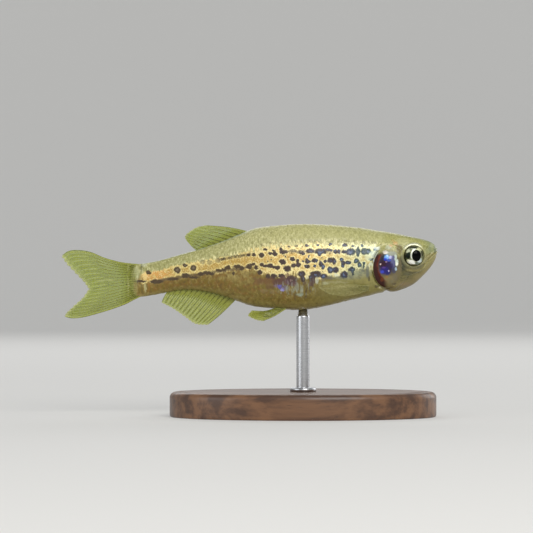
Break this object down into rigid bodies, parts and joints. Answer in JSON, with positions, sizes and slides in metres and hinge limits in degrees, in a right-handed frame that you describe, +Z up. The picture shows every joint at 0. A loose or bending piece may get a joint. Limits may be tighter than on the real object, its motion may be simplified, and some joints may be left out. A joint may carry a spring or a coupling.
{
  "type": "zebra danio",
  "caption": "Life-size still model of a leopard-spotted zebra danio, swimming level, held over a plain oval base by a rod.",
  "frame": {"origin": "on the ground, under the middle of the fish's length and the middle of its width", "axes": "+X is forward, from tail to snout, +Y is the fish's left side, and +Z is up"},
  "size_m": [0.0452, 0.02, 0.0232],
  "materials": {
    "skin": "satin olive-beige back, gold flanks with blue-grey spots, brown lower flank, fine scales",
    "gill_cover": "glossy iridescent blue and violet patch behind a silver arc, dark red rear rim",
    "eye": "wet black pupil in a silver iris, clear gloss coat",
    "fin": "see-through olive membrane with fine pale rays",
    "stand_wood": "satin dark walnut",
    "stand_steel": "polished rod"
  },
  "bodies": {
    "root": {"head": "skin", "lower_jaw": "skin", "trunk": "skin", "tail_stalk": "skin", "gill_cover_right": "gill_cover", "gill_cover_left": "gill_cover", "eye_right": "eye", "eye_left": "eye", "dorsal_fin": "fin", "anal_fin": "fin", "caudal_fin_upper": "fin", "caudal_fin_lower": "fin", "pelvic_fin_left": "fin", "pelvic_fin_right": "fin", "pectoral_fin_left": "fin", "pectoral_fin_right": "fin", "barbel_rostral_left": "skin", "barbel_rostral_right": "skin", "barbel_maxillary_left": "skin", "barbel_maxillary_right": "skin", "stand_base": "stand_wood", "stand_rod": "stand_steel"}
  },
  "joints": []
}
